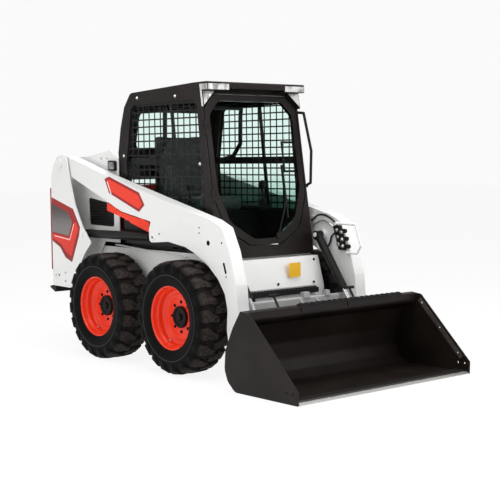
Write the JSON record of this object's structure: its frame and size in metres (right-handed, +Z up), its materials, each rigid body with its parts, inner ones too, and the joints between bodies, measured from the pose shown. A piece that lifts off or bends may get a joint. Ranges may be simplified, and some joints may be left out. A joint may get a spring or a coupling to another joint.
{
  "type": "skid steer loader",
  "caption": "Compact wheeled loader with lift arms, a wide dirt bucket, an enclosed cab with a front door, and a rear tailgate.",
  "frame": {"origin": "on the ground under the middle of the machine's length and width", "axes": "+X forward to the bucket, +Y to the operator's left, +Z up"},
  "size_m": [3.118, 1.56, 1.9718],
  "materials": {
    "body_white": "gloss",
    "cab_black": "satin",
    "frame_black": "satin",
    "frame_grey": "satin",
    "rod_chrome": "polished",
    "edge_steel": "worn",
    "rim_orange": "gloss",
    "tyre": "matte",
    "glass": "clear",
    "lamp_lens": "clear",
    "seat_vinyl": "matte",
    "control_plastic": "matte",
    "support_orange": "satin",
    "tail_lens": "clear",
    "tailgate_red": "gloss"
  },
  "bodies": {
    "chassis": {"main_frame": "body_white", "axle_housings": "frame_black", "engine_block": "frame_grey", "uprights": "body_white", "side_panels": "body_white", "side_vents": "frame_black", "frame_pins": "body_white", "engine_hood": "body_white", "rear_bumper": "frame_black", "fenders": "body_white", "front_panel": "body_white", "front_step": "frame_black", "cab_sides": "cab_black", "cab_front": "cab_black", "cab_roof": "cab_black", "cab_rear": "cab_black", "cab_floor": "cab_black", "side_glass": "glass", "headlamps": "lamp_lens", "seat_base": "cab_black", "seat_cushions": "seat_vinyl", "control_stands": "cab_black", "control_levers": "control_plastic", "work_lamps": "frame_black", "side_screens": "frame_black", "rear_glass": "glass", "grab_handle": "frame_black"},
    "lift_arms": {"lift_arm_left": "body_white", "lift_arm_right": "body_white", "arm_crossmember": "frame_grey", "arm_support": "support_orange", "coupler_block": "frame_black", "coupler_guard": "body_white"},
    "bucket": {"quick_attach": "frame_black", "hinge_pins": "frame_grey", "bucket_shell": "frame_black", "cutting_edge": "edge_steel", "bucket_step": "frame_black", "attach_levers": "frame_black"},
    "lift_barrels": {"lift_barrels": "frame_black"},
    "lift_rods": {"lift_rods": "rod_chrome"},
    "tilt_barrels": {"tilt_barrels": "frame_black"},
    "tilt_rods": {"tilt_rods": "rod_chrome"},
    "front_door": {"door_frame": "cab_black", "door_glass": "glass", "door_fittings": "frame_black"},
    "tailgate": {"tailgate": "tailgate_red", "tail_lamps": "tail_lens"},
    "seat_bar": {"seat_bar": "cab_black"},
    "wheel_front_right": {"tyre_front_right": "tyre", "rim_front_right": "rim_orange"},
    "wheel_front_left": {"tyre_front_left": "tyre", "rim_front_left": "rim_orange"},
    "wheel_rear_right": {"tyre_rear_right": "tyre", "rim_rear_right": "rim_orange"},
    "wheel_rear_left": {"tyre_rear_left": "tyre", "rim_rear_left": "rim_orange"}
  },
  "joints": [
    {"name": "spin_front_right", "type": "hinge", "parent": "chassis", "child": "wheel_front_right", "pos_m": [0.221, -0.605, 0.3865], "axis": [0, 1, 0], "continuous": true},
    {"name": "spin_front_left", "type": "hinge", "parent": "chassis", "child": "wheel_front_left", "pos_m": [0.221, 0.605, 0.3865], "axis": [0, 1, 0], "continuous": true},
    {"name": "spin_rear_right", "type": "hinge", "parent": "chassis", "child": "wheel_rear_right", "pos_m": [-0.681, -0.605, 0.3865], "axis": [0, 1, 0], "continuous": true},
    {"name": "spin_rear_left", "type": "hinge", "parent": "chassis", "child": "wheel_rear_left", "pos_m": [-0.681, 0.605, 0.3865], "axis": [0, 1, 0], "continuous": true},
    {"name": "arm_lift", "type": "hinge", "parent": "chassis", "child": "lift_arms", "pos_m": [-1.337, 0, 1.427], "axis": [0, -1, 0], "range_deg": [0, 64]},
    {"name": "bucket_tilt", "type": "hinge", "parent": "lift_arms", "child": "bucket", "pos_m": [0.77, 0, 0.2], "axis": [0, 1, 0], "range_deg": [-27, 106]},
    {"name": "lift_barrel_pivot", "type": "hinge", "parent": "chassis", "child": "lift_barrels", "pos_m": [-1.041, 0, 0.895], "axis": [0, -1, 0], "range_deg": [-1, 63.5]},
    {"name": "lift_rod_slide", "type": "slide", "parent": "lift_barrels", "child": "lift_rods", "axis": [0.9999, 0, 0.0113], "range_m": [-0.005, 0.65]},
    {"name": "tilt_barrel_pivot", "type": "hinge", "parent": "lift_arms", "child": "tilt_barrels", "pos_m": [0.45, 0, 0.902], "axis": [0, 1, 0], "range_deg": [-1, 3]},
    {"name": "tilt_rod_slide", "type": "slide", "parent": "tilt_barrels", "child": "tilt_rods", "axis": [0.5798, 0, -0.8147], "range_m": [-0.08, 0.31]},
    {"name": "front_door_hinge", "type": "hinge", "parent": "chassis", "child": "front_door", "pos_m": [0.35886, -0.431, 1.1], "axis": [-0.1564, 0, 0.9877], "range_deg": [-85, 0]},
    {"name": "tailgate_hinge", "type": "hinge", "parent": "chassis", "child": "tailgate", "pos_m": [-1.5, 0.578, 0.9], "axis": [0, 0, 1], "range_deg": [-95, 0]},
    {"name": "seat_bar_swing", "type": "hinge", "parent": "chassis", "child": "seat_bar", "pos_m": [-0.543, 0, 1.44], "axis": [0, 1, 0], "range_deg": [0, 78]}
  ],
  "couplings": [
    {"joint": "spin_rear_right", "follows": "spin_front_right", "ratio": 1},
    {"joint": "spin_rear_left", "follows": "spin_front_left", "ratio": 1},
    {"joint": "lift_barrel_pivot", "follows": "arm_lift", "ratio": 0.97655},
    {"joint": "lift_rod_slide", "follows": "arm_lift", "m_per_rad": 0.577},
    {"joint": "tilt_barrel_pivot", "follows": "bucket_tilt", "ratio": 0.02},
    {"joint": "tilt_rod_slide", "follows": "bucket_tilt", "m_per_rad": 0.16095}
  ]
}
